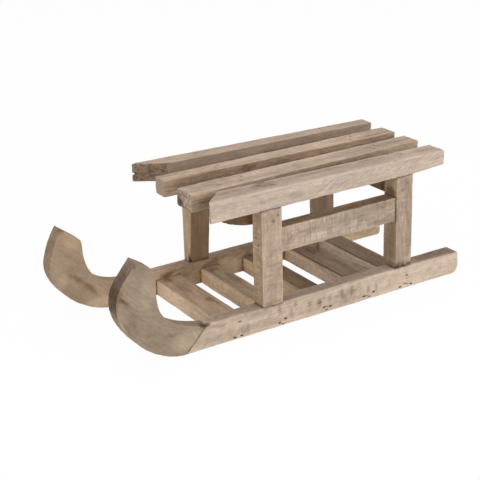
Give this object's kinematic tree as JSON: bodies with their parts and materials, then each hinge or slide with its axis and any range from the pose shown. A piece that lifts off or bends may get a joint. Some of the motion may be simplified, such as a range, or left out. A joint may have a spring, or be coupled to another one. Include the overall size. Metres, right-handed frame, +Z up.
{
  "type": "wooden sledge",
  "caption": "Small rustic wooden sledge of reclaimed boards: horned runners with scarf joints, boarded deck, legs, side rails and a slatted seat.",
  "frame": {"origin": "on the ground under the middle of the sledge's overall box", "axes": "+X towards the rear, so the horns point along -X; +Y towards the right runner; +Z up"},
  "size_m": [0.569, 0.21, 0.2],
  "materials": {
    "runner_wood": "weathered, fine sawn, matt",
    "horn_wood": "weathered, band-sawn, matt",
    "leg_wood": "weathered, fine sawn, matt",
    "rail_wood": "sawn across the grain, matt",
    "bearer_wood": "rough sawn, matt",
    "slat_wood": "weathered, worn edges, matt",
    "deck_wood": "weathered, fine sawn, matt",
    "nail_steel": "dull, a little rusted"
  },
  "bodies": {
    "root": {"left_runner": "runner_wood", "right_runner": "runner_wood", "left_horn": "horn_wood", "right_horn": "horn_wood", "left_front_leg": "leg_wood", "left_rear_leg": "leg_wood", "right_front_leg": "leg_wood", "right_rear_leg": "leg_wood", "left_rail": "rail_wood", "right_rail": "rail_wood", "front_bearer": "bearer_wood", "rear_bearer": "bearer_wood", "seat_slat_1": "slat_wood", "seat_slat_2": "slat_wood", "seat_slat_3": "slat_wood", "seat_slat_4": "slat_wood", "deck_board_1": "deck_wood", "deck_board_2": "deck_wood", "deck_board_3": "deck_wood", "deck_board_4": "deck_wood", "deck_board_5": "deck_wood", "deck_nails": "nail_steel", "seat_nails": "nail_steel", "bearer_nails": "nail_steel", "rail_nails": "nail_steel", "foot_nails": "nail_steel"}
  },
  "joints": []
}
